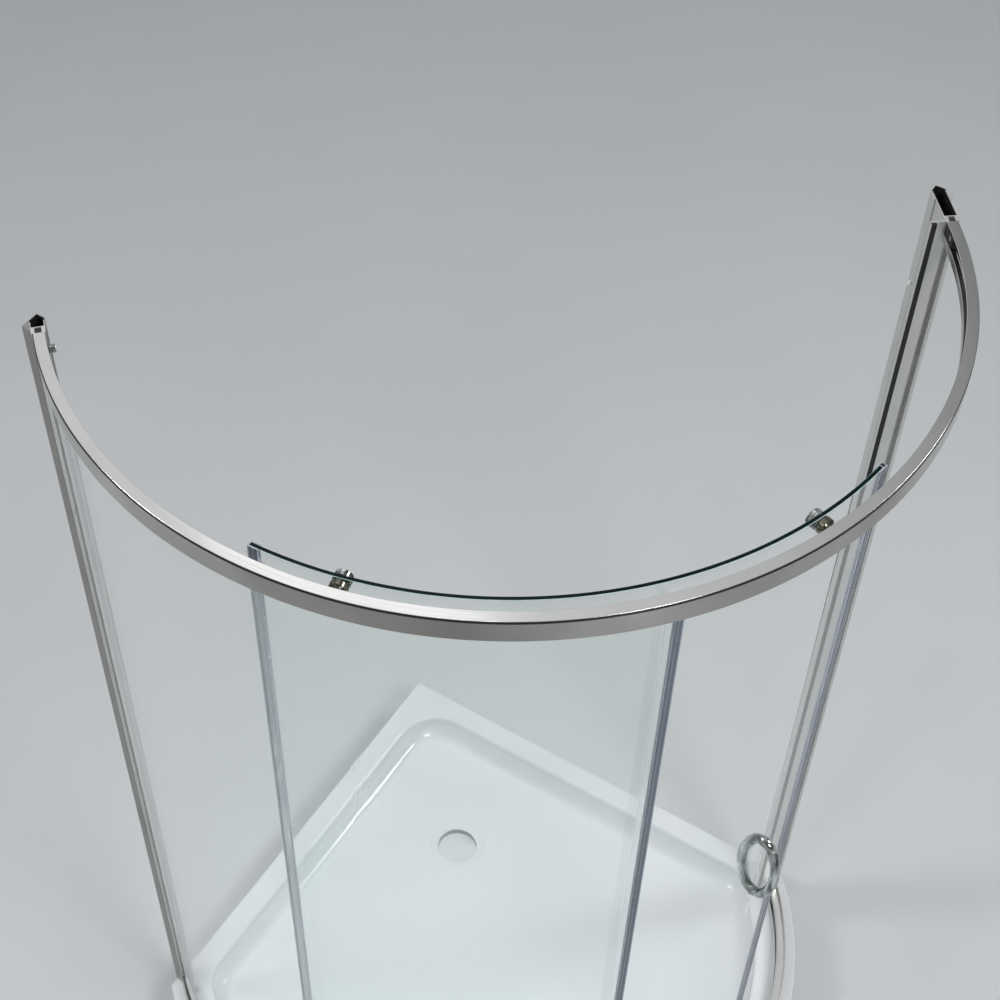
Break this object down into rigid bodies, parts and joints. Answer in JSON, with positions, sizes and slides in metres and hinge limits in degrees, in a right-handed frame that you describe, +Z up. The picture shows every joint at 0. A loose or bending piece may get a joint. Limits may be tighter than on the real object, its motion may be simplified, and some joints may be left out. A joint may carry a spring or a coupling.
{
  "type": "corner shower enclosure",
  "caption": "Round-fronted corner shower enclosure: white tray, curved fixed glass and a curved glass door that slides behind it on rollers in polished rails between wall profiles.",
  "frame": {"origin": "middle of the bounding box at floor level, under the tray", "axes": "+Z up; the left wall is the plane at the -X side and the right wall the plane at the +Y side, so the round front faces +X and -Y"},
  "size_m": [1.1268, 1.1268, 1.946],
  "materials": {
    "acrylic": "gloss",
    "foot_rubber": "matte",
    "zinc_steel": "satin",
    "polished_rail": "polished",
    "polished_profile": "polished",
    "magnet": "matte",
    "white_cap": "gloss",
    "block_plastic": "matte",
    "chrome": "polished",
    "glass": "clear, faint green tint",
    "clear_seal": "clear, ribbed",
    "gasket": "satin",
    "washer_nylon": "matte",
    "wheel_nylon": "satin"
  },
  "bodies": {
    "enclosure": {"tray": "acrylic", "tray_foot_pads": "foot_rubber", "tray_foot_studs": "zinc_steel", "tray_foot_nuts": "zinc_steel", "wall_channel_left": "polished_profile", "wall_channel_right": "polished_profile", "jamb_left": "polished_profile", "strike_jamb_right": "polished_profile", "strike_magnet": "magnet", "jamb_screws": "zinc_steel", "screw_caps": "white_cap", "top_rail": "polished_rail", "bottom_rail": "polished_rail", "rail_end_blocks": "block_plastic", "rail_knob_screws": "chrome", "rail_flush_screws": "zinc_steel", "fixed_glass": "glass", "fixed_edge_seal": "clear_seal", "top_gasket": "gasket", "bottom_gasket": "gasket", "jamb_gasket": "gasket"},
    "door": {"door_glass": "glass", "door_left_seal": "clear_seal", "door_right_seal": "clear_seal", "door_magnet": "magnet", "door_wiper": "clear_seal", "roller_axles": "zinc_steel", "roller_caps": "chrome", "roller_flanges": "chrome", "roller_washers": "washer_nylon", "axle_clips": "zinc_steel", "handle_outer": "chrome", "handle_inner": "chrome", "handle_washers": "washer_nylon", "handle_studs": "zinc_steel"},
    "top_wheel_left": {"top_wheel_left": "wheel_nylon"},
    "top_wheel_right": {"top_wheel_right": "wheel_nylon"},
    "bottom_wheel_left": {"bottom_wheel_left": "wheel_nylon"},
    "bottom_wheel_right": {"bottom_wheel_right": "wheel_nylon"}
  },
  "joints": [
    {"name": "door_travel", "type": "hinge", "parent": "enclosure", "child": "door", "pos_m": [-0.1025, 0.1025, 0], "axis": [0, 0, 1], "range_deg": [-23.3, 46.2]},
    {"name": "top_wheel_left_spin", "type": "hinge", "parent": "door", "child": "top_wheel_left", "pos_m": [0.04492, -0.51155, 1.9333], "axis": [0.2334, -0.9724, 0], "continuous": true},
    {"name": "top_wheel_right_spin", "type": "hinge", "parent": "door", "child": "top_wheel_right", "pos_m": [0.49387, -0.10518, 1.9333], "axis": [0.9444, -0.3289, 0], "continuous": true},
    {"name": "bottom_wheel_left_spin", "type": "hinge", "parent": "door", "child": "bottom_wheel_left", "pos_m": [0.04492, -0.51155, 0.1327], "axis": [0.2334, -0.9724, 0], "continuous": true},
    {"name": "bottom_wheel_right_spin", "type": "hinge", "parent": "door", "child": "bottom_wheel_right", "pos_m": [0.49387, -0.10518, 0.1327], "axis": [0.9444, -0.3289, 0], "continuous": true}
  ],
  "couplings": [
    {"joint": "top_wheel_left_spin", "follows": "door_travel", "ratio": -82.013},
    {"joint": "top_wheel_right_spin", "follows": "door_travel", "ratio": -82.013},
    {"joint": "bottom_wheel_left_spin", "follows": "door_travel", "ratio": 82.013},
    {"joint": "bottom_wheel_right_spin", "follows": "door_travel", "ratio": 82.013}
  ]
}
